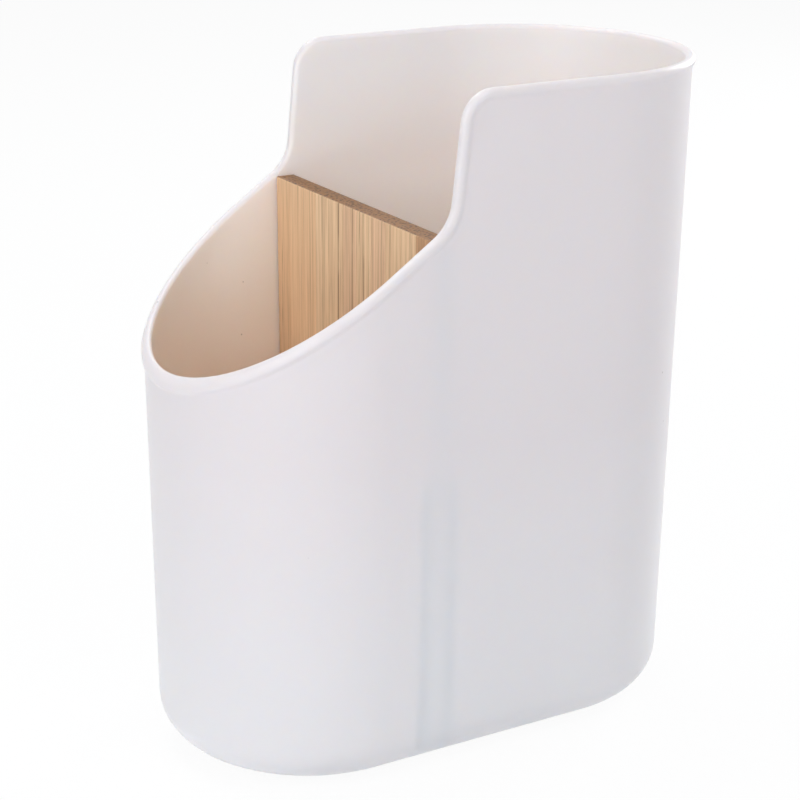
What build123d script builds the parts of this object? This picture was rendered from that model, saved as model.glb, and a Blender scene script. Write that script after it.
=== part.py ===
from build123d import *
import math
import os

# Cutlery drainer: a drafted oval cup with a low round front, a slanted rim and a tall rear, and a
# divider board of glued bamboo strips that stands across it and lifts out.
# Millimetres and degrees. +Z is up and -Y is the low front. The origin is on the resting surface,
# under the middle of the oval.

# Overall size, over the rim bead
height = 187.8
rim_length = 160.0
rim_width = 91.2

# Cup moulding
wall = 2.2
floor_thickness = 2.5
draft = 0.8
base_edge_radius = 12.5

# Rim line, seen from the side
mouth_height = 111.7
step_y = -17.4
step_height = 154.2
step_lean = 5.7
step_foot_radius = 12.0
step_top_radius = 9.0

# Bead along the rim
bead_proud = 0.75
bead_height = 2.7
bead_round = 1.4
bead_under_bevel = 0.6
rim_inner_bevel = 0.9

# Divider board
divider_thickness = 5.8
divider_set_forward = 1.35
divider_top_drop = 4.3
strip_width_nominal = 7.5
divider_edge_bevel = 0.5
divider_side_clearance = 0.4
divider_face_clearance = 0.3
divider_lift_clearance = 4.0

# Channel of ribs that holds the board
guide_height = 85.0
guide_rib = 1.8
guide_depth = 3.0
guide_sill_height = 5.0
guide_corner_radius = 6.0
guide_tip_radius = 2.0

# Drain holes
drain_diameter = 6.0
drain_pitch = 14.0
drain_margin = 1.5

# Feet
foot_diameter = 12.0
foot_proud = 1.5
foot_socket_depth = 0.8
foot_socket_clearance = 0.2
foot_inset = 3.0

# How far a cutting solid runs past what it cuts, and how near an edge lies to a line that it is on
overrun = 5.0
edge_tolerance = 0.001

# Places and sizes that follow from the ones above
slope = math.tan(math.radians(draft))
straight_half = (rim_length - rim_width) / 2
floor_top = foot_proud + floor_thickness
cavity_edge_radius = base_edge_radius - wall
divider_y = step_y - divider_set_forward
divider_top = step_height - divider_top_drop
divider_corner_radius = cavity_edge_radius + divider_side_clearance
channel_half = divider_thickness / 2 + divider_face_clearance
divider_travel = height - floor_top + divider_lift_clearance


def wall_radius(z):
    """Half width of the cup's outside at height z, without the bead."""
    return rim_width / 2 - bead_proud - (height - z) * slope


def oval_prism(low, high, grow):
    """Drafted oval solid between two heights, its outline moved outward by grow."""
    outline = Rot(0, 0, 90) * SlotCenterToCenter(2 * straight_half, 2 * (wall_radius(low) + grow))
    return extrude(Pos(0, 0, low) * outline, amount=high - low, taper=-draft)


def round_base(solid, radius):
    """The solid with the edge of its lowest face rounded."""
    return fillet(solid.faces().sort_by(Axis.Z)[0].edges(), radius)


def rim_profile():
    """Side view of the space under the rim line: slant, step and level rear."""
    front_y = -(straight_half + wall_radius(mouth_height) + bead_proud)
    rise = (step_height - mouth_height) / (step_y - front_y)
    reach = rim_length
    corner_y = step_y + (height - step_height) * math.tan(math.radians(step_lean))
    foot = (step_y, step_height)
    corner = (corner_y, height)
    outline = make_face(
        Polyline(
            (-reach, -overrun),
            (-reach, step_height - rise * (reach + step_y)),
            foot,
            corner,
            (reach, height),
            (reach, -overrun),
            close=True,
        )
    )
    outline = fillet(outline.vertices().sort_by_distance((*foot, 0))[0], step_foot_radius)
    return fillet(outline.vertices().sort_by_distance((*corner, 0))[0], step_top_radius)


def lowered_profile():
    """The rim profile moved in by the height of the bead."""
    return offset(rim_profile(), -bead_height, kind=Kind.INTERSECTION)


def across(profile):
    """The side-view profile made solid across the whole width."""
    return extrude(Plane.YZ * profile, amount=rim_width, both=True)


def make_guides():
    """Two U-shaped ribs, one on each side of the board: a sill on the floor that runs up both walls."""
    sill_top = floor_top + guide_sill_height
    past_top = guide_height + overrun

    def inner(z):
        return wall_radius(z) - wall - guide_depth

    plate = Pos(0, floor_top) * Rectangle(
        rim_width,
        guide_height - floor_top,
        align=(Align.CENTER, Align.MIN),
    )
    mouth = make_face(
        Polyline(
            (-inner(sill_top), sill_top),
            (inner(sill_top), sill_top),
            (inner(past_top), past_top),
            (-inner(past_top), past_top),
            close=True,
        )
    )
    mouth = fillet(mouth.vertices().group_by(Axis.Y)[0], guide_corner_radius)
    frame = plate - mouth
    tip_places = [(side * inner(guide_height), guide_height, 0) for side in (-1, 1)]
    tips = [frame.vertices().sort_by_distance(place)[0] for place in tip_places]
    rib = extrude(Plane.XZ * fillet(tips, guide_tip_radius), amount=guide_rib)
    ribs = Pos(0, divider_y - channel_half, 0) * rib + Pos(0, divider_y + channel_half + guide_rib, 0) * rib
    middle_of_wall = oval_prism(floor_top - floor_thickness / 2, height, -wall / 2)
    return ribs & round_base(middle_of_wall, base_edge_radius - wall / 2)


def foot_places():
    """Names and centres of the four feet, on the flat of the base."""
    x = wall_radius(foot_proud) - base_edge_radius - foot_diameter / 2 - foot_inset
    ends = {"front": -straight_half, "rear": straight_half}
    sides = {"left": -x, "right": x}
    return {f"foot_{end}_{side}": (sides[side], ends[end]) for end in ends for side in sides}


def drain_places():
    """Staggered rows of hole centres on the flat floor, clear of the ribs and the feet."""
    hole = drain_diameter / 2
    reach = wall_radius(foot_proud) - base_edge_radius - hole - drain_margin
    row_step = drain_pitch * math.sqrt(3) / 2
    rows = int((straight_half + reach) // row_step)
    columns = int(reach // drain_pitch) + 1
    feet_gap = (foot_diameter / 2 + foot_socket_clearance) + hole + drain_margin
    ribs_gap = channel_half + guide_rib + hole + drain_margin
    places = []
    for row in range(-rows, rows + 1):
        y = row * row_step
        for column in range(-columns, columns + 1):
            x = (column + (row % 2) / 2) * drain_pitch
            on_floor = math.hypot(x, max(abs(y) - straight_half, 0)) <= reach
            off_feet = all(math.dist((x, y), place) >= feet_gap for place in foot_places().values())
            off_ribs = abs(y - divider_y) >= ribs_gap
            if on_floor and off_feet and off_ribs:
                places.append((x, y))
    return places


def make_cup():
    """The moulded cup with its rim bead, guide ribs, drain holes and foot sockets."""
    keep = across(rim_profile())
    below_bead = across(lowered_profile())
    cavity = round_base(oval_prism(floor_top, height + overrun, -wall), cavity_edge_radius)
    body = round_base(oval_prism(foot_proud, height, 0), base_edge_radius)
    bead = (oval_prism(foot_proud, height, bead_proud) - cavity) & keep
    bead = round_bead(bead - below_bead)
    holes = [Pos(x, y, 0) * Cylinder(drain_diameter / 2, 2 * floor_top) for x, y in drain_places()]
    socket_radius = foot_diameter / 2 + foot_socket_clearance
    socket_top = foot_proud + foot_socket_depth
    sockets = [Pos(x, y, 0) * Cylinder(socket_radius, 2 * socket_top) for x, y in foot_places().values()]
    shell = (body - cavity) & below_bead
    return shell + bead + make_guides() - holes - sockets


def round_bead(bead):
    """The bead with its lip rounded outside and its inner and lower edges eased."""
    rim_line = rim_profile().wire()
    under_line = lowered_profile().wire()

    def on(edge, line):
        middle = edge @ 0.5
        return line.distance_to(Vector(middle.Y, middle.Z, 0)) < edge_tolerance

    def outside(edge):
        middle = edge @ 0.5
        reach = math.hypot(middle.X, max(abs(middle.Y) - straight_half, 0))
        return reach > wall_radius(middle.Z) - wall / 2

    bead = fillet([e for e in bead.edges() if on(e, rim_line) and outside(e)], bead_round)
    bead = chamfer([e for e in bead.edges() if on(e, rim_line) and not outside(e)], rim_inner_bevel)
    return chamfer([e for e in bead.edges() if on(e, under_line) and outside(e)], bead_under_bevel)


def make_board():
    """The divider board as one solid, tapered to the drafted walls, before it is cut into strips."""
    def half(z):
        return wall_radius(z) - wall - divider_side_clearance

    face = make_face(
        Polyline(
            (-half(floor_top), floor_top),
            (half(floor_top), floor_top),
            (half(divider_top), divider_top),
            (-half(divider_top), divider_top),
            close=True,
        )
    )
    face = fillet(face.vertices().group_by(Axis.Y)[0], divider_corner_radius)
    slab = extrude(Plane.XZ.offset(-divider_y) * face, amount=divider_thickness / 2, both=True)
    top_edges = slab.faces().sort_by(Axis.Z)[-1].edges().filter_by(Axis.X)
    return chamfer(top_edges, divider_edge_bevel)


def make_strips():
    """The board cut into equal upright strips, which the board is glued up from."""
    board = make_board()
    box = board.bounding_box()
    count = round(box.size.X / strip_width_nominal)
    width = box.size.X / count
    strips = []
    for number in range(count):
        x = box.min.X + (number + 0.5) * width
        cutter = Pos(x, divider_y, box.center().Z) * Box(width, 2 * box.size.Y, 2 * box.size.Z)
        strips.append(board & cutter)
    return strips


def make_foot(x, y):
    """One soft foot, proud of the base, its top against the end of its socket."""
    return Pos(x, y, 0) * Cylinder(
        foot_diameter / 2,
        foot_proud + foot_socket_depth,
        align=(Align.CENTER, Align.CENTER, Align.MIN),
    )


os.makedirs("parts", exist_ok=True)
export_step(make_cup(), "parts/cup.step")
for number, strip in enumerate(make_strips(), start=1):
    export_step(strip, f"parts/divider_strip_{number:02d}.step")
for name, (x, y) in foot_places().items():
    export_step(make_foot(x, y), f"parts/{name}.step")
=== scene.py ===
import bisect
import math

import bpy
from mathutils import Matrix, Vector
from mathutils.geometry import delaunay_2d_cdt


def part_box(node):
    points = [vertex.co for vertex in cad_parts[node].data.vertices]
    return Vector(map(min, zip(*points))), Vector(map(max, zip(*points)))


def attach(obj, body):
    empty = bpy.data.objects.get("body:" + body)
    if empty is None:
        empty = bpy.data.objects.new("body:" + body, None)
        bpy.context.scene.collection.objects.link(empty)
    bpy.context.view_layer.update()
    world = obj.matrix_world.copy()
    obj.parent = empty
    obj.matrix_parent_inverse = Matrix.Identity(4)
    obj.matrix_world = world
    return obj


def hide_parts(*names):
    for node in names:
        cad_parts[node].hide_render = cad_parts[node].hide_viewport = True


# Cutlery drainer: a glossy white cup with a slanted, stepped rim and a bamboo divider.
# Metres. +Z is up, -Y is the low front, and the photographed side is +X.

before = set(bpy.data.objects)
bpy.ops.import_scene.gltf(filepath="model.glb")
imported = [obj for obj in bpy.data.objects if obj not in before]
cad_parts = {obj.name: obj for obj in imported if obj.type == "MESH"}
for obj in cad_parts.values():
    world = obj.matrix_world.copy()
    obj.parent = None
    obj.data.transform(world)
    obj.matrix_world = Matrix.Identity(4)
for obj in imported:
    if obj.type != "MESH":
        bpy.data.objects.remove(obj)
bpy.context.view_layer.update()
MM = 0.001

# Cup, the same sizes as the moulded part
HEIGHT = 187.8 * MM
RIM_LENGTH = 160.0 * MM
RIM_WIDTH = 91.2 * MM
WALL = 2.2 * MM
FLOOR = 2.5 * MM
DRAFT = math.radians(0.8)
BASE_EDGE = 12.5 * MM
BASE_Z = 1.5 * MM
BEAD_PROUD = 0.75 * MM
BEAD_ROUND = 1.45 * MM
BEAD_BLEND = 2.0 * MM
RIM_INNER_ROUND = 1.4 * MM

# Rim line, seen from the side
MOUTH_HEIGHT = 111.7 * MM
STEP_Y = -17.4 * MM
STEP_HEIGHT = 154.2 * MM
STEP_LEAN = math.radians(5.7)
STEP_FOOT_RADIUS = 12.0 * MM
STEP_TOP_RADIUS = 9.0 * MM

# Channel for the divider, drain holes and foot sockets
DIVIDER_Y = -18.75 * MM
CHANNEL_HALF = 3.2 * MM
GUIDE_HEIGHT = 85.0 * MM
GUIDE_RIB = 1.8 * MM
GUIDE_DEPTH = 3.0 * MM
GUIDE_SILL = 5.0 * MM
GUIDE_CORNER = 6.0 * MM
GUIDE_TIP = 2.0 * MM
GUIDE_EDGE = 0.35 * MM
DRAIN_RADIUS = 3.0 * MM
DRAIN_PITCH = 14.0 * MM
DRAIN_MARGIN = 1.5 * MM
SOCKET_DEPTH = 0.8 * MM
SOCKET_CLEARANCE = 0.2 * MM
FOOT_RADIUS = 6.0 * MM
FOOT_ROLL = 0.5 * MM

# Shallow hollow under a foot, as (radius, height) from its edge inwards
FOOT_HOLLOW = (
    (4.1 * MM, 0.0),
    (3.8 * MM, 0.12 * MM),
    (3.2 * MM, 0.34 * MM),
    (2.0 * MM, 0.4 * MM),
)

# Divider
DIVIDER_THICKNESS = 5.8 * MM
DIVIDER_TOP = 149.9 * MM
DIVIDER_CORNER = 10.7 * MM
SIDE_CLEARANCE = 0.4 * MM
STRIP_COUNT = 11
STRIP_EASE = 0.12 * MM
TOP_EASE = 0.45 * MM

# How finely the cup is divided
ARC_STEPS = 40
FLAT_STEPS = 16
CORNER_STEPS = 12
STEP_STEPS = 6
WALL_ROWS = 26
EDGE_ROWS = 10
LIP_STEPS = 8
BLEND_STEPS = 10
CIRCLE_STEPS = 40

# Rounds in which a height on the round front settles on the slant, and the least step that is divided by
SETTLE_ROUNDS = 8
LEAST_STEP = 1e-9

# Triangulation of a flat face: triangles inside the outline, and how near points are one and the same
TRIANGLES_INSIDE = 1
SAME_POINT = 1e-7

# Edges sharper than these stay sharp in the shading
SHARP_ANGLE = math.radians(40)
STRIP_SHARP_ANGLE = math.radians(25)

# Plastic. It drifts between two tones. By share of the height, the first table below multiplies them on
# the inside with painted light, lighter towards the rim and warmer further down, for light that bounces
# round the cup and off the bamboo; the second multiplies them on the outside with painted bounce light
# from the worktop near its foot.
PLASTIC = ((0.754, 0.726, 0.754), (0.764, 0.734, 0.762))
PAINTED_INSIDE_LIGHT = (
    (0.0, (1.16, 1.030, 0.855)),
    (0.48, (1.16, 1.040, 0.915)),
    (0.67, (1.185, 1.145, 1.060)),
    (0.80, (1.21, 1.165, 1.100)),
    (0.95, (1.25, 1.240, 1.210)),
)
PAINTED_FLOOR_BOUNCE = (
    (0.10, (1.05, 1.08, 1.075)),
    (0.50, (1.00, 1.00, 1.00)),
)
PLASTIC_ROUGHNESS = (0.285, 0.315)
INSIDE_ROUGHER = 0.13

# Depths below the rim over which the inside's painted light and its extra roughness come in
PAINTED_LIGHT_FADE = (0.1 * MM, 1.6 * MM)
ROUGHNESS_FADE = (1.0 * MM, 12.0 * MM)

# Specks in the plastic, one in each cell of a pattern but for the share without. The soft edge is in
# parts of a cell.
SPECK = (0.30, 0.28, 0.27)
SPECK_STRENGTH = 0.6
SPECK_CELLS_PER_METRE = 100
SPECK_EDGE = (0.018, 0.034)
CELLS_WITHOUT_SPECK = 0.5

# Bamboo: the light and the deep colour of each tone
BAMBOO = {
    "warm": ((0.795, 0.525, 0.310), (0.735, 0.465, 0.265)),
    "pale": ((0.800, 0.560, 0.345), (0.700, 0.465, 0.275)),
    "rosy": ((0.770, 0.515, 0.325), (0.670, 0.430, 0.262)),
    "dark": ((0.560, 0.330, 0.180), (0.440, 0.250, 0.130)),
}

# Each strip's tone, and where across it its darkest fibre runs and how strong that is
STRIPS = (
    ("warm", 0.50, 0.12),
    ("warm", 0.25, 0.10),
    ("warm", 0.75, 0.20),
    ("pale", 0.50, 0.40),
    ("pale", 0.70, 1.00),
    ("rosy", 0.70, 0.70),
    ("pale", 0.50, 0.80),
    ("rosy", 0.90, 0.50),
    ("pale", 0.30, 0.30),
    ("pale", 0.60, 0.40),
    ("dark", 0.50, 0.30),
)

# How far the pattern moves up from one strip to the next, and the share of fine fibres against bands
STRIP_SHIFT = 0.37
FIBRE_SHARE = 0.75

# How far the colours go past the deep and the light one
DARKEST = 0.72
PALEST = 1.12
PALEST_LIMIT = 0.9

# Thin lines, each strip's darkest fibre with its soft edge, and the end grain with its darker bundles
LINE = (0.225, 0.110, 0.048)
STREAK = (0.235, 0.115, 0.055)
STREAK_EDGE = (0.12 * MM, 0.55 * MM)
END_GRAIN = (0.255, 0.122, 0.044)
END_BUNDLE = (0.040, 0.014, 0.004)
END_BUNDLES_PER_METRE = 1000

# Rubber, from clean to scuffed
RUBBER = ((0.60, 0.60, 0.585), (0.50, 0.50, 0.485))

# Where nearly all values of a noise lie
NOISE_SPAN = (0.3, 0.7)

# Stage
FLOOR_HALF = 3.0
FLOOR_TONES = ((0.93, 0.95, 0.975), (0.95, 0.97, 0.995))
FLOOR_WHITE = 0.94
WORLD_FILL = 0.2

# Soft lamps: place, width, height and watts
LAMPS = {
    "near": ((0.34, -0.50, 0.35), 0.3, 0.3, 0.65),
    "low": ((0.34, -0.40, 0.07), 0.3, 0.1, 0.2),
    "front": ((0.2, -0.9, 0.5), 0.6, 0.6, 1.9),
    "over_camera": ((0.45, -0.45, 0.9), 0.5, 0.5, 0.4),
    "high": ((0.8, 0.2, 1.0), 0.8, 0.8, 4.1),
    "far": ((-0.8, 0.1, 1.0), 0.7, 0.7, 3.0),
    "steep": ((-0.25, -0.2, 1.1), 0.4, 0.4, 3.0),
    "rear": ((-0.35, 1.1, 0.45), 0.6, 0.6, 6.2),
    "rear_side": ((0.6, 1.0, 0.3), 0.5, 0.5, 0.9),
}

# The photograph's camera, its lens and sensor in millimetres
CAMERA_AZIMUTH = math.radians(58.75)
CAMERA_ELEVATION = math.radians(18.83)
CAMERA_ROLL = math.radians(0.61)
CAMERA_TARGET = Vector((-0.86, -1.34, 91.8)) * MM
CAMERA_DISTANCE = 594.6 * MM
CAMERA_LENS = 95.57
CAMERA_SENSOR = 36
CAMERA_SHIFT_X = -0.01375
CAMERA_SHIFT_Y = 0.001

# Values that follow
FLOOR_TOP = BASE_Z + FLOOR
HALF_STRAIGHT = (RIM_LENGTH - RIM_WIDTH) / 2
CAVITY_EDGE = BASE_EDGE - WALL


def wall_radius(z):
    """Half width of the cup's outside at height z, without the bead."""
    return RIM_WIDTH / 2 - BEAD_PROUD - (HEIGHT - z) * math.tan(DRAFT)


# Shape of the rim line

FRONT_Y = -(HALF_STRAIGHT + wall_radius(MOUTH_HEIGHT) + BEAD_PROUD)
SLANT = math.atan2(STEP_HEIGHT - MOUTH_HEIGHT, STEP_Y - FRONT_Y)
UPRIGHT = math.pi / 2 - STEP_LEAN


class RimLine:
    """The rim seen from the side, moved into the material by a depth."""

    def __init__(self, depth):
        self.level = HEIGHT - depth
        foot = Vector((STEP_Y, STEP_HEIGHT))
        self.on_slant = foot + depth * Vector((math.sin(SLANT), -math.cos(SLANT)))
        on_step = foot + depth * Vector((math.sin(UPRIGHT), -math.cos(UPRIGHT)))
        turn = UPRIGHT - SLANT
        slant_way = Vector((math.cos(SLANT), math.sin(SLANT)))
        step_way = Vector((math.cos(UPRIGHT), math.sin(UPRIGHT)))
        gap = on_step - self.on_slant
        corner = self.on_slant + slant_way * (gap.cross(step_way) / slant_way.cross(step_way))
        self.foot_radius = STEP_FOOT_RADIUS + depth
        self.top_radius = STEP_TOP_RADIUS - depth
        foot_run = self.foot_radius * math.tan(turn / 2)
        self.foot_start = corner - slant_way * foot_run
        self.foot_centre = self.foot_start + self.foot_radius * Vector((-math.sin(SLANT), math.cos(SLANT)))
        top = corner + step_way * ((self.level - corner.y) / step_way.y)
        top_run = self.top_radius * math.tan(UPRIGHT / 2)
        self.top_end = top + Vector((top_run, 0))
        self.top_centre = self.top_end - Vector((0, self.top_radius))

    def slant_height(self, y):
        """Height of the slanted stretch at y."""
        return self.on_slant.y + (y - self.on_slant.x) * math.tan(SLANT)

    def along_flat(self):
        """Points (y, z) over the flat side of the cup, from its front end to its rear end."""
        points = []
        start_y = -HALF_STRAIGHT
        for i in range(FLAT_STEPS):
            y = start_y + (self.foot_start.x - start_y) * i / FLAT_STEPS
            points.append((y, self.slant_height(y)))
        for i in range(CORNER_STEPS + 1):
            a = SLANT + (UPRIGHT - SLANT) * i / CORNER_STEPS
            spot = self.foot_centre + self.foot_radius * Vector((math.sin(a), -math.cos(a)))
            points.append(tuple(spot))
        low = Vector(points[-1])
        high = self.top_centre + self.top_radius * Vector((-math.sin(UPRIGHT), math.cos(UPRIGHT)))
        for i in range(1, STEP_STEPS):
            points.append(tuple(low.lerp(high, i / STEP_STEPS)))
        for i in range(CORNER_STEPS + 1):
            a = UPRIGHT * (1 - i / CORNER_STEPS)
            spot = self.top_centre + self.top_radius * Vector((-math.sin(a), math.cos(a)))
            points.append(tuple(spot))
        for i in range(1, FLAT_STEPS + 1):
            y = self.top_end.x + (HALF_STRAIGHT - self.top_end.x) * i / FLAT_STEPS
            points.append((y, self.level))
        return points


def rim_columns(grow, depth):
    """Half of a ring where the oval, grown outward, meets the rim line moved in by depth.

    Each column is (place in plan, height). A place is ("front", angle), ("flat", y) or ("rear", angle).
    """
    line = RimLine(depth)
    columns = []
    for i in range(ARC_STEPS):
        angle = -math.pi / 2 * (1 - i / ARC_STEPS)
        z = MOUTH_HEIGHT
        for _ in range(SETTLE_ROUNDS):
            z = line.slant_height(-HALF_STRAIGHT + (wall_radius(z) + grow) * math.sin(angle))
        columns.append((("front", angle), z))
    columns += [(("flat", y), z) for y, z in line.along_flat()]
    for i in range(1, ARC_STEPS + 1):
        columns.append((("rear", math.pi / 2 * i / ARC_STEPS), line.level))
    return columns


def place(where, radius, z):
    """The point of an oval of that half width at a place in plan and a height."""
    kind, value = where
    if kind == "flat":
        return Vector((radius, value, z))
    end = -HALF_STRAIGHT if kind == "front" else HALF_STRAIGHT
    return Vector((radius * math.cos(value), end + radius * math.sin(value), z))


def height_at(line, y):
    """Height at y of a line through (y, z) points in order of y."""
    after = min(max(bisect.bisect(line, (y,)), 1), len(line) - 1)
    (y0, z0), (y1, z1) = line[after - 1], line[after]
    return z0 + (z1 - z0) * min(max((y - y0) / max(y1 - y0, LEAST_STEP), 0), 1)


class MeshMaker:
    """Collects points and faces for one mesh."""

    def __init__(self):
        self.points = []
        self.faces = []
        self.inner = set()

    def add(self, points, inner=False):
        """Adds points, which may be on the cup's inside, and returns their numbers."""
        start = len(self.points)
        self.points += points
        numbers = list(range(start, len(self.points)))
        if inner:
            self.inner.update(numbers)
        return numbers

    def ring(self, half, inner=False):
        """A closed ring from its half on the +X side, whose ends lie on the middle plane."""
        mirrored = [Vector((-p.x, p.y, p.z)) for p in half[-2:0:-1]]
        return self.add(half + mirrored, inner)

    def bridge(self, a, b):
        """Quads between two closed rings of equal count."""
        count = len(a)
        for i in range(count):
            j = (i + 1) % count
            self.faces.append((a[i], a[j], b[j], b[i]))

    def plate(self, outline, holes, up):
        """A flat face inside an outline ring, less the triangles that would close a hole.

        Those have all their corners on that hole's ring.
        """
        loops = [outline] + holes
        numbers = [n for loop in loops for n in loop]
        spots = [Vector(self.points[n][:2]) for n in numbers]
        edges = []
        start = 0
        for loop in loops:
            edges += [(start + i, start + (i + 1) % len(loop)) for i in range(len(loop))]
            start += len(loop)
        _, _, triangles, origins, _, _ = delaunay_2d_cdt(spots, edges, [], TRIANGLES_INSIDE, SAME_POINT)
        source = [numbers[origin[0]] for origin in origins]
        open_loops = [set(hole) for hole in holes]
        for triangle in triangles:
            corners = [source[i] for i in triangle]
            if not any(loop.issuperset(corners) for loop in open_loops):
                self.faces.append(corners if up else corners[::-1])

    def finish(self, name, sharp_angle=SHARP_ANGLE):
        """The mesh as an object, smooth but for edges sharper than the angle.

        Points on the cup's inside get their depth below the rim, for the painted light and the roughness
        on the plastic's inside.
        """
        mesh = bpy.data.meshes.new(name)
        mesh.from_pydata([tuple(p) for p in self.points], [], self.faces)
        mesh.validate()
        mesh.polygons.foreach_set("use_smooth", [True] * len(mesh.polygons))
        mesh.set_sharp_from_angle(angle=sharp_angle)
        if self.inner:
            rim = sorted((place(where, wall_radius(z), z).y, z) for where, z in rim_columns(0, 0))
            depth = mesh.attributes.new("inside_depth", "FLOAT", "POINT")
            for number in self.inner:
                spot = self.points[number]
                depth.data[number].value = max(height_at(rim, spot.y) - spot.z, 0)
        thing = bpy.data.objects.new(name, mesh)
        bpy.context.scene.collection.objects.link(thing)
        return thing


def circle(x, y, z, radius):
    """Points of a level circle, anticlockwise from above."""
    turns = [2 * math.pi * i / CIRCLE_STEPS for i in range(CIRCLE_STEPS)]
    return [Vector((x + radius * math.cos(t), y + radius * math.sin(t), z)) for t in turns]


def arc(centre_x, centre_z, radius, start, end, steps=EDGE_ROWS):
    """Points (x, z) along an upright arc from one angle to another."""
    turns = [start + (end - start) * i / steps for i in range(steps + 1)]
    return [(centre_x + radius * math.cos(t), centre_z + radius * math.sin(t)) for t in turns]


# Cup

def lip_section():
    """The lip's section from its outside, over the top and to its inside, as (grow, depth) pairs."""
    section = []
    for i in range(BLEND_STEPS):
        swell = (1 - math.cos(math.pi * i / BLEND_STEPS)) / 2
        depth = BEAD_ROUND + BEAD_BLEND * (1 - i / BLEND_STEPS)
        section.append((BEAD_PROUD * swell, depth))
    quarter = [math.pi / 2 * i / LIP_STEPS for i in range(LIP_STEPS + 1)]
    for a in quarter:
        grow = BEAD_PROUD - BEAD_ROUND * (1 - math.cos(a))
        section.append((grow, BEAD_ROUND * (1 - math.sin(a))))
    for a in quarter:
        grow = -WALL + RIM_INNER_ROUND * (1 - math.sin(a))
        section.append((grow, RIM_INNER_ROUND * (1 - math.cos(a))))
    section.append((-WALL, RIM_INNER_ROUND + BEAD_BLEND))
    return section


def edge_arc(maker, columns, grow, edge, floor_z):
    """Rings round the rounded corner between a drafted wall and a level floor, down from the wall."""
    centre_z = floor_z + edge
    centre = wall_radius(centre_z) + grow - edge / math.cos(DRAFT)
    rings = []
    for i in range(EDGE_ROWS + 1):
        a = -DRAFT - (math.pi / 2 - DRAFT) * i / EDGE_ROWS
        radius = centre + edge * math.cos(a)
        z = centre_z + edge * math.sin(a)
        rings.append(maker.ring([place(where, radius, z) for where, _ in columns], grow < 0))
    return rings


def wall_rings(maker, columns, grow, low_z):
    """Rings down a wall from its top columns, each column keeping its place in plan."""
    rings = []
    for row in range(1, WALL_ROWS):
        half = []
        for where, top in columns:
            z = top + (low_z - top) * row / WALL_ROWS
            half.append(place(where, wall_radius(z) + grow, z))
        rings.append(maker.ring(half, grow < 0))
    return rings


def foot_places():
    """Centres of the feet, from their CAD boxes."""
    names = sorted(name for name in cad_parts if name.startswith("foot_"))
    return {name: sum(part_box(name), Vector()) / 2 for name in names}


def drain_places():
    """Staggered rows of hole centres on the flat floor, clear of the ribs and the feet."""
    reach = wall_radius(BASE_Z) - BASE_EDGE - DRAIN_RADIUS - DRAIN_MARGIN
    row_step = DRAIN_PITCH * math.sqrt(3) / 2
    rows = int((HALF_STRAIGHT + reach) // row_step)
    columns = int(reach // DRAIN_PITCH) + 1
    feet_gap = FOOT_RADIUS + SOCKET_CLEARANCE + DRAIN_RADIUS + DRAIN_MARGIN
    ribs_gap = CHANNEL_HALF + GUIDE_RIB + DRAIN_RADIUS + DRAIN_MARGIN
    feet = [spot.xy for spot in foot_places().values()]
    places = []
    for row in range(-rows, rows + 1):
        for column in range(-columns, columns + 1):
            spot = Vector(((column + (row % 2) / 2) * DRAIN_PITCH, row * row_step))
            on_floor = math.hypot(spot.x, max(abs(spot.y) - HALF_STRAIGHT, 0)) <= reach
            off_feet = all((spot - foot).length >= feet_gap for foot in feet)
            off_ribs = abs(spot.y - DIVIDER_Y) >= ribs_gap
            if on_floor and off_feet and off_ribs:
                places.append(spot)
    return places


def guide_paths():
    """Right halves of a rib's open edge and of its back in the wall, as (x, z) from the middle out."""
    def inner(z):
        return wall_radius(z) - WALL - GUIDE_DEPTH

    sill = FLOOR_TOP + GUIDE_SILL
    corner_x = inner(sill) - GUIDE_CORNER
    tip_x = inner(GUIDE_HEIGHT) + GUIDE_TIP
    tip_z = GUIDE_HEIGHT - GUIDE_TIP
    hollow = [(0, sill), (corner_x / 2, sill)]
    hollow += arc(corner_x, sill + GUIDE_CORNER, GUIDE_CORNER, -math.pi / 2, 0)
    hollow += arc(tip_x, tip_z, GUIDE_TIP, math.pi, math.pi / 2)
    sunk = WALL / 2
    edge = BASE_EDGE - sunk
    centre_z = BASE_Z + BASE_EDGE
    back = [(0, FLOOR_TOP - sunk), (corner_x / 2, FLOOR_TOP - sunk)]
    back += arc(wall_radius(centre_z) - sunk - edge, centre_z, edge, -math.pi / 2, 0)
    for i in range(EDGE_ROWS + 1):
        z = tip_z + GUIDE_TIP * i / EDGE_ROWS
        back.append((wall_radius(z) - sunk, z))
    return hollow, back


def both_sides(path, y):
    """A path from the middle out as points at one y, run over both halves from left to right."""
    right = [Vector((x, y, z)) for x, z in path]
    left = [Vector((-p.x, p.y, p.z)) for p in right[:0:-1]]
    return left + right


def make_guide(maker, y):
    """One U-shaped rib with eased edges: a sill on the floor that runs up both side walls."""
    hollow, back = guide_paths()
    sections = (
        (y, GUIDE_EDGE),
        (y + GUIDE_EDGE, 0),
        (y + GUIDE_RIB - GUIDE_EDGE, 0),
        (y + GUIDE_RIB, GUIDE_EDGE),
    )
    loops = []
    for side_y, inset in sections:
        eased = [(x + inset, z - inset) for x, z in hollow]
        loops.append([maker.add(both_sides(path, side_y), inner=True) for path in (eased, back)])
    span = range(len(loops[0][0]) - 1)
    for (front, front_back), (rear, rear_back) in zip(loops, loops[1:]):
        for i in span:
            maker.faces.append((front[i], front[i + 1], rear[i + 1], rear[i]))
            maker.faces.append((rear_back[i], rear_back[i + 1], front_back[i + 1], front_back[i]))
        maker.faces.append((front[0], rear[0], rear_back[0], front_back[0]))
        maker.faces.append((front_back[-1], rear_back[-1], rear[-1], front[-1]))
    near, near_back = loops[0]
    far, far_back = loops[-1]
    for i in span:
        maker.faces.append((near[i + 1], near[i], near_back[i], near_back[i + 1]))
        maker.faces.append((far[i], far[i + 1], far_back[i + 1], far_back[i]))


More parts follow.
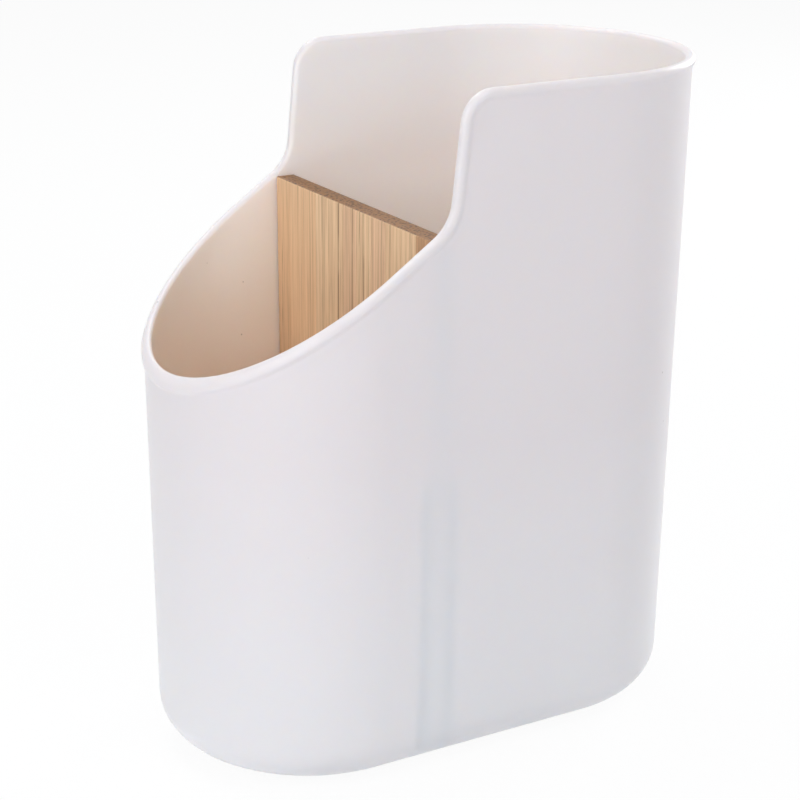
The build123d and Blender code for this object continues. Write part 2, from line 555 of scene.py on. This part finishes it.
def make_cup():
    """The moulded cup, one closed skin with its bead, holes and sockets, and the two guide ribs."""
    maker = MeshMaker()
    section = lip_section()
    lip = []
    for grow, depth in section:
        half = [place(where, wall_radius(z) + grow, z) for where, z in rim_columns(grow, depth)]
        lip.append(maker.ring(half, grow < -WALL / 2))
    outside = rim_columns(*section[0])
    inside = rim_columns(*section[-1])
    base = edge_arc(maker, outside, 0, BASE_EDGE, BASE_Z)
    floor = edge_arc(maker, inside, -WALL, CAVITY_EDGE, FLOOR_TOP)
    outer = wall_rings(maker, outside, 0, BASE_Z + BASE_EDGE)
    inner = wall_rings(maker, inside, -WALL, FLOOR_TOP + CAVITY_EDGE)
    rings = base[::-1] + outer[::-1] + lip + inner + floor
    for a, b in zip(rings, rings[1:]):
        maker.bridge(a, b)
    low_holes = []
    high_holes = []
    for spot in drain_places():
        low = maker.add(circle(spot.x, spot.y, BASE_Z, DRAIN_RADIUS))
        high = maker.add(circle(spot.x, spot.y, FLOOR_TOP, DRAIN_RADIUS), inner=True)
        maker.bridge(high, low)
        low_holes.append(low)
        high_holes.append(high)
    for spot in foot_places().values():
        radius = FOOT_RADIUS + SOCKET_CLEARANCE
        low = maker.add(circle(spot.x, spot.y, BASE_Z, radius))
        high = maker.add(circle(spot.x, spot.y, BASE_Z + SOCKET_DEPTH, radius))
        maker.bridge(high, low)
        maker.faces.append(high[::-1])
        low_holes.append(low)
    maker.plate(base[-1], low_holes, up=False)
    maker.plate(floor[-1], high_holes, up=True)
    for y in (DIVIDER_Y - CHANNEL_HALF - GUIDE_RIB, DIVIDER_Y + CHANNEL_HALF):
        make_guide(maker, y)
    return maker.finish("cup_shell")


# Divider strips

def board_half(z):
    """Half width of the board at height z."""
    return wall_radius(z) - WALL - SIDE_CLEARANCE


def strip_edge(number):
    """X of the lower edge of a strip, or of a place that many strip widths in."""
    return (number / STRIP_COUNT - 0.5) * 2 * board_half(DIVIDER_TOP)


def strip_outline(number, inset, top_inset):
    """Outline of one strip as (x, z), drawn in by the insets, anticlockwise seen from the front."""
    low_x = strip_edge(number)
    high_x = strip_edge(number + 1)
    floor = FLOOR_TOP + inset
    radius = DIVIDER_CORNER - inset
    top = DIVIDER_TOP - top_inset
    centre_z = floor + radius
    centre_x = board_half(centre_z) - inset - radius / math.cos(DRAFT)

    def bottom(x):
        past = abs(x) - centre_x
        return floor if past <= 0 else centre_z - math.sqrt(radius * radius - past * past)

    if 0 < number < STRIP_COUNT - 1:
        a, b = low_x + inset, high_x - inset
        run = [a + (b - a) * i / CORNER_STEPS for i in range(CORNER_STEPS + 1)]
        return [(x, bottom(x)) for x in run] + [(b, top), (a, top)]
    side = 1 if high_x > 0 else -1
    near = min(abs(low_x), abs(high_x)) + inset
    start = math.asin((bottom(near) - centre_z) / radius)
    points = arc(centre_x, centre_z, radius, start, -DRAFT, CORNER_STEPS)
    points += [(board_half(top) - inset, top), (near, top)]
    return points if side > 0 else [(-x, z) for x, z in points[::-1]]


def make_strip(name, number):
    """One upright strip of the board with eased edges, in the place of its CAD node."""
    front = DIVIDER_Y - DIVIDER_THICKNESS / 2
    back = DIVIDER_Y + DIVIDER_THICKNESS / 2
    rows = [
        (front, STRIP_EASE, TOP_EASE),
        (front + STRIP_EASE, 0, TOP_EASE / 3),
        (front + TOP_EASE, 0, 0),
        (back - TOP_EASE, 0, 0),
        (back - STRIP_EASE, 0, TOP_EASE / 3),
        (back, STRIP_EASE, TOP_EASE),
    ]
    maker = MeshMaker()
    loops = []
    for y, inset, top_inset in rows:
        outline = strip_outline(number, inset, top_inset)
        loops.append(maker.add([Vector((x, y, z)) for x, z in outline]))
    for a, b in zip(loops, loops[1:]):
        maker.bridge(b, a)
    maker.faces.append(loops[0])
    maker.faces.append(loops[-1][::-1])
    return maker.finish(name.replace("divider_", "bamboo_"), STRIP_SHARP_ANGLE)


# Feet

def make_pad(name, spot):
    """A round rubber foot with a rolled edge and a shallow hollow underneath."""
    profile = [(FOOT_RADIUS, BASE_Z + SOCKET_DEPTH)]
    profile += arc(FOOT_RADIUS - FOOT_ROLL, FOOT_ROLL, FOOT_ROLL, 0, -math.pi / 2)
    profile += FOOT_HOLLOW
    maker = MeshMaker()
    rings = [maker.add(circle(spot.x, spot.y, z, radius)) for radius, z in profile]
    for a, b in zip(rings, rings[1:]):
        maker.bridge(b, a)
    maker.faces.append(rings[0])
    maker.faces.append(rings[-1][::-1])
    return maker.finish(name.replace("foot_", "pad_"))


# Materials

def new_material(name):
    """A node material's tree with its Principled shader."""
    material = bpy.data.materials.new(name)
    material.use_nodes = True
    tree = material.node_tree
    return material, tree, tree.nodes["Principled BSDF"]


class Nodes:
    """Short calls for adding nodes to a material's tree."""

    def __init__(self, tree):
        self.tree = tree

    def add(self, kind, **settings):
        """A node with its properties set."""
        node = self.tree.nodes.new(kind)
        for key, value in settings.items():
            setattr(node, key, value)
        return node

    def feed(self, value, socket):
        """Sets a socket to a value, or links it to another node's output."""
        if isinstance(value, bpy.types.NodeSocket):
            self.tree.links.new(value, socket)
        else:
            socket.default_value = value

    def math(self, operation, a, b=0.0):
        """One Math node."""
        node = self.add("ShaderNodeMath", operation=operation)
        self.feed(a, node.inputs[0])
        self.feed(b, node.inputs[1])
        return node.outputs[0]

    def place(self, scale):
        """The object's own coordinates, multiplied."""
        spot = self.add("ShaderNodeTexCoord")
        mapping = self.add("ShaderNodeMapping")
        self.feed(spot.outputs["Object"], mapping.inputs["Vector"])
        mapping.inputs["Scale"].default_value = scale
        return mapping.outputs["Vector"]

    def noise(self, vector, scale, detail=3.0, roughness=0.5):
        """A noise value from 0 to 1."""
        node = self.add("ShaderNodeTexNoise")
        self.feed(vector, node.inputs["Vector"])
        node.inputs["Scale"].default_value = scale
        node.inputs["Detail"].default_value = detail
        node.inputs["Roughness"].default_value = roughness
        return node.outputs["Fac"]

    def cells(self, vector, scale):
        """A Voronoi node, which has a distance and a colour for each cell."""
        node = self.add("ShaderNodeTexVoronoi", feature="F1")
        self.feed(vector, node.inputs["Vector"])
        node.inputs["Scale"].default_value = scale
        return node

    def ramp(self, value, stops):
        """A colour ramp through (position, colour) stops."""
        node = self.add("ShaderNodeValToRGB")
        self.feed(value, node.inputs["Fac"])
        elements = node.color_ramp.elements
        while len(elements) < len(stops):
            elements.new(0.5)
        for element, (position, colour) in zip(elements, stops):
            element.position = position
            element.color = (*colour, 1)
        return node.outputs["Color"]

    def fit(self, value, span, new_span=(0.0, 1.0)):
        """A value mapped from one span to another, kept inside it."""
        node = self.add("ShaderNodeMapRange")
        self.feed(value, node.inputs["Value"])
        for socket, end in zip(("From Min", "From Max", "To Min", "To Max"), span + new_span):
            node.inputs[socket].default_value = end
        return node.outputs["Result"]

    def mix(self, factor, a, b, blend_type="MIX"):
        """One colour mix."""
        node = self.add("ShaderNodeMix", data_type="RGBA", blend_type=blend_type)
        self.feed(factor, node.inputs["Factor"])
        self.feed(a if not isinstance(a, tuple) else (*a, 1), node.inputs["A"])
        self.feed(b if not isinstance(b, tuple) else (*b, 1), node.inputs["B"])
        return node.outputs["Result"]

    def bump(self, height, strength, distance, under=None):
        """A bump normal."""
        node = self.add("ShaderNodeBump")
        self.feed(height, node.inputs["Height"])
        node.inputs["Strength"].default_value = strength
        node.inputs["Distance"].default_value = distance
        if under is not None:
            self.feed(under, node.inputs["Normal"])
        return node.outputs["Normal"]


def cup_plastic():
    """Glossy white plastic with a faint upright draw, tiny specks, slightly uneven gloss and painted
    bounce light inside and near its foot.
    """
    material, tree, shader = new_material("cup_plastic")
    n = Nodes(tree)
    spot = n.place((1, 1, 1))
    tone = n.mix(n.noise(spot, scale=14, detail=1.0), *PLASTIC)
    depth = n.add("ShaderNodeAttribute", attribute_name="inside_depth").outputs["Fac"]
    upright = n.add("ShaderNodeSeparateXYZ")
    n.feed(spot, upright.inputs["Vector"])
    share = n.fit(upright.outputs["Z"], (0.0, HEIGHT))
    # Painted light on the inside: lighter towards the rim and warmer further down, for light bouncing
    # round the cup
    inside = n.mix(1.0, tone, n.ramp(share, PAINTED_INSIDE_LIGHT), "MULTIPLY")
    # Painted bounce light from the worktop on the outside near the foot, a little lighter and cooler
    outside = n.mix(1.0, tone, n.ramp(share, PAINTED_FLOOR_BOUNCE), "MULTIPLY")
    # The tone with its painted light, the inside's coming in just below the rim
    tone = n.mix(n.fit(depth, PAINTED_LIGHT_FADE), outside, inside)
    cells = n.cells(spot, SPECK_CELLS_PER_METRE)
    dot = n.fit(cells.outputs["Distance"], SPECK_EDGE, (1.0, 0.0))
    chance = n.add("ShaderNodeSeparateColor")
    n.feed(cells.outputs["Color"], chance.inputs["Color"])
    rare = n.math("GREATER_THAN", chance.outputs["Red"], CELLS_WITHOUT_SPECK)
    speck = n.math("MULTIPLY", n.math("MULTIPLY", dot, rare), SPECK_STRENGTH)
    n.feed(n.mix(speck, tone, SPECK), shader.inputs["Base Color"])
    draw = n.noise(n.place((1, 1, 0.06)), scale=130, detail=1.0)
    gloss = n.fit(draw, NOISE_SPAN, PLASTIC_ROUGHNESS)
    rougher = n.fit(depth, ROUGHNESS_FADE, (0.0, INSIDE_ROUGHER))
    n.feed(n.math("ADD", gloss, rougher), shader.inputs["Roughness"])
    wave = n.bump(draw, strength=0.05, distance=0.05 * MM)
    grain = n.noise(spot, scale=2600, detail=1.0)
    n.feed(n.bump(grain, strength=0.05, distance=0.02 * MM, under=wave), shader.inputs["Normal"])
    shader.inputs["IOR"].default_value = 1.49
    shader.inputs["Subsurface Weight"].default_value = 0.6
    shader.inputs["Subsurface Radius"].default_value = (1.0, 0.8, 0.65)
    shader.inputs["Subsurface Scale"].default_value = 4.0 * MM
    return material


def bamboo(name, number):
    """Bamboo with upright fibres on its faces, speckled end grain and a few dark fibre lines."""
    material, tree, shader = new_material(name)
    n = Nodes(tree)
    tone, across, strength = STRIPS[number]
    light, deep = BAMBOO[tone]
    coordinates = n.add("ShaderNodeTexCoord")
    moved = n.add("ShaderNodeVectorMath", operation="ADD")
    n.feed(coordinates.outputs["Object"], moved.inputs[0])
    moved.inputs[1].default_value = (0, 0, STRIP_SHIFT * number)

    def stretched(upward_scale):
        mapping = n.add("ShaderNodeMapping")
        n.feed(moved.outputs[0], mapping.inputs["Vector"])
        mapping.inputs["Scale"].default_value = (1, 1, upward_scale)
        return mapping.outputs["Vector"]

    # Fibres and broader bands
    fibres = n.noise(stretched(0.02), scale=1500, detail=3.0, roughness=0.7)
    bands = n.noise(stretched(0.015), scale=420, detail=2.0, roughness=0.6)
    fine = n.math("MULTIPLY", fibres, FIBRE_SHARE)
    broad = n.math("MULTIPLY", bands, 1 - FIBRE_SHARE)
    mixed = n.math("ADD", fine, broad)
    stops = (
        (0.0, tuple(c * DARKEST for c in deep)),
        (0.35, deep),
        (0.65, light),
        (1.0, tuple(min(c * PALEST, PALEST_LIMIT) for c in light)),
    )
    body = n.ramp(n.fit(mixed, (0.34, 0.66)), stops)
    drift = n.noise(stretched(0.3), scale=60, detail=2.0, roughness=0.5)
    body = n.mix(n.fit(drift, (0.35, 0.7), (0.0, 0.3)), body, deep)

    # Thin broken lines, and the strip's darkest fibre
    veins = n.noise(stretched(0.008), scale=900, detail=1.0, roughness=0.4)
    dashes = n.fit(n.noise(stretched(0.12), scale=400, detail=2.0), (0.42, 0.58), (0.25, 1.0))
    line = n.math("MULTIPLY", n.fit(veins, (0.68, 0.74), (0.0, 0.85)), dashes)
    body = n.mix(line, body, LINE)
    flat = n.add("ShaderNodeSeparateXYZ")
    n.feed(coordinates.outputs["Object"], flat.inputs["Vector"])
    off = n.math("ABSOLUTE", n.math("SUBTRACT", flat.outputs["X"], strip_edge(number + across)))
    fade = n.fit(n.noise(stretched(0.25), scale=260, detail=3.0), (0.38, 0.56), (0.1, strength))
    streak = n.math("MULTIPLY", n.fit(off, STREAK_EDGE, (0.85, 0.0)), fade)
    body = n.mix(streak, body, STREAK)

    # End grain on the faces that look up or down
    cells = n.cells(stretched(0.02), END_BUNDLES_PER_METRE)
    bundle = n.fit(cells.outputs["Distance"], (0.22, 0.48), (1.0, 0.0))
    end = n.mix(n.math("MULTIPLY", bundle, 0.85), END_GRAIN, END_BUNDLE)
    facing = n.add("ShaderNodeSeparateXYZ")
    n.feed(coordinates.outputs["Normal"], facing.inputs["Vector"])
    upward = n.fit(n.math("ABSOLUTE", facing.outputs["Z"]), (0.80, 0.97))
    n.feed(n.mix(upward, body, end), shader.inputs["Base Color"])
    n.feed(n.fit(fibres, NOISE_SPAN, (0.46, 0.62)), shader.inputs["Roughness"])
    relief = n.math("SUBTRACT", fibres, n.math("MULTIPLY", line, 0.8))
    n.feed(n.bump(relief, strength=0.35, distance=0.06 * MM), shader.inputs["Normal"])
    shader.inputs["IOR"].default_value = 1.45
    return material


def foot_rubber():
    """Soft frosted rubber with a fine matt grain and scuffs."""
    material, tree, shader = new_material("foot_rubber")
    n = Nodes(tree)
    spot = n.place((1, 1, 1))
    scuff = n.noise(spot, scale=480, detail=4.0, roughness=0.6)
    n.feed(n.mix(n.fit(scuff, (0.45, 0.7)), *RUBBER), shader.inputs["Base Color"])
    n.feed(n.fit(scuff, NOISE_SPAN, (0.55, 0.75)), shader.inputs["Roughness"])
    grain = n.noise(spot, scale=3000, detail=2.0)
    n.feed(n.bump(grain, strength=0.25, distance=0.03 * MM), shader.inputs["Normal"])
    shader.inputs["IOR"].default_value = 1.43
    return material


# Stage

def seen_directly(n):
    """1 for what the camera, a reflection or a clear surface shows, and 0 for light on the object."""
    path = n.add("ShaderNodeLightPath")
    seen = n.math("MAXIMUM", path.outputs["Is Camera Ray"], path.outputs["Is Transmission Ray"])
    return n.math("MAXIMUM", seen, path.outputs["Is Glossy Ray"])


def make_stage():
    """A plain pale floor and a white surround that the camera and reflections see."""
    maker = MeshMaker()
    corners = ((-1, -1), (1, -1), (1, 1), (-1, 1))
    maker.faces.append(maker.add([Vector((x, y, 0)) * FLOOR_HALF for x, y in corners]))
    floor = maker.finish("floor")
    material, tree, shader = new_material("floor")
    n = Nodes(tree)
    cloud = n.noise(n.place((1, 1, 1)), scale=6, detail=2.0)
    n.feed(n.mix(cloud, *FLOOR_TONES), shader.inputs["Base Color"])
    shader.inputs["Roughness"].default_value = 0.9
    shader.inputs["Specular IOR Level"].default_value = 0.1
    white = n.add("ShaderNodeEmission")
    shown = n.add("ShaderNodeMixShader")
    n.feed(n.math("MULTIPLY", seen_directly(n), FLOOR_WHITE), shown.inputs["Fac"])
    n.feed(shader.outputs["BSDF"], shown.inputs[1])
    n.feed(white.outputs["Emission"], shown.inputs[2])
    n.feed(shown.outputs["Shader"], tree.nodes["Material Output"].inputs["Surface"])
    floor.data.materials.append(material)
    world = bpy.data.worlds.new("studio")
    bpy.context.scene.world = world
    world.use_nodes = True
    n = Nodes(world.node_tree)
    background = world.node_tree.nodes["Background"]
    background.inputs["Color"].default_value = (1, 1, 1, 1)
    n.feed(n.fit(seen_directly(n), (0, 1), (WORLD_FILL, 1)), background.inputs["Strength"])


def soft_light(name, spot, width, height, watts):
    """A rectangular soft light at a place, aimed at the middle of the cup."""
    light = bpy.data.lights.new(name, "AREA")
    light.shape = "RECTANGLE"
    light.size = width
    light.size_y = height
    light.energy = watts
    thing = bpy.data.objects.new(name, light)
    thing.location = spot
    aim = Vector((0, 0, HEIGHT / 2)) - Vector(spot)
    thing.rotation_euler = aim.to_track_quat("-Z", "Y").to_euler()
    bpy.context.scene.collection.objects.link(thing)


def make_camera():
    """The photograph's camera."""
    back = Vector((
        math.sin(CAMERA_AZIMUTH) * math.cos(CAMERA_ELEVATION),
        -math.cos(CAMERA_AZIMUTH) * math.cos(CAMERA_ELEVATION),
        math.sin(CAMERA_ELEVATION),
    ))
    right = Vector((math.cos(CAMERA_AZIMUTH), math.sin(CAMERA_AZIMUTH), 0))
    up = back.cross(right)
    turned_right = math.cos(CAMERA_ROLL) * right + math.sin(CAMERA_ROLL) * up
    turned_up = math.cos(CAMERA_ROLL) * up - math.sin(CAMERA_ROLL) * right
    camera = bpy.data.cameras.new("camera")
    camera.sensor_width = CAMERA_SENSOR
    camera.lens = CAMERA_LENS
    camera.shift_x = CAMERA_SHIFT_X
    camera.shift_y = CAMERA_SHIFT_Y
    thing = bpy.data.objects.new("camera", camera)
    turn = Matrix((turned_right, turned_up, back)).transposed()
    spot = CAMERA_TARGET + back * CAMERA_DISTANCE
    thing.matrix_world = Matrix.Translation(spot) @ turn.to_4x4()
    bpy.context.scene.collection.objects.link(thing)
    bpy.context.scene.camera = thing


cup = make_cup()
cup.data.materials.append(cup_plastic())
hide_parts("cup")
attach(cup, "cup")

strip_names = sorted(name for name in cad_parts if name.startswith("divider_strip_"))
for number, name in enumerate(strip_names):
    strip = make_strip(name, number)
    strip.data.materials.append(bamboo(f"bamboo_{number + 1:02d}", number))
    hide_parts(name)
    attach(strip, "divider")

rubber = foot_rubber()
for name, spot in foot_places().items():
    pad = make_pad(name, spot)
    pad.data.materials.append(rubber)
    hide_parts(name)
    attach(pad, "cup")

make_stage()
for name, lamp in LAMPS.items():
    soft_light(name, *lamp)
make_camera()

bpy.context.scene.view_settings.view_transform = "Standard"
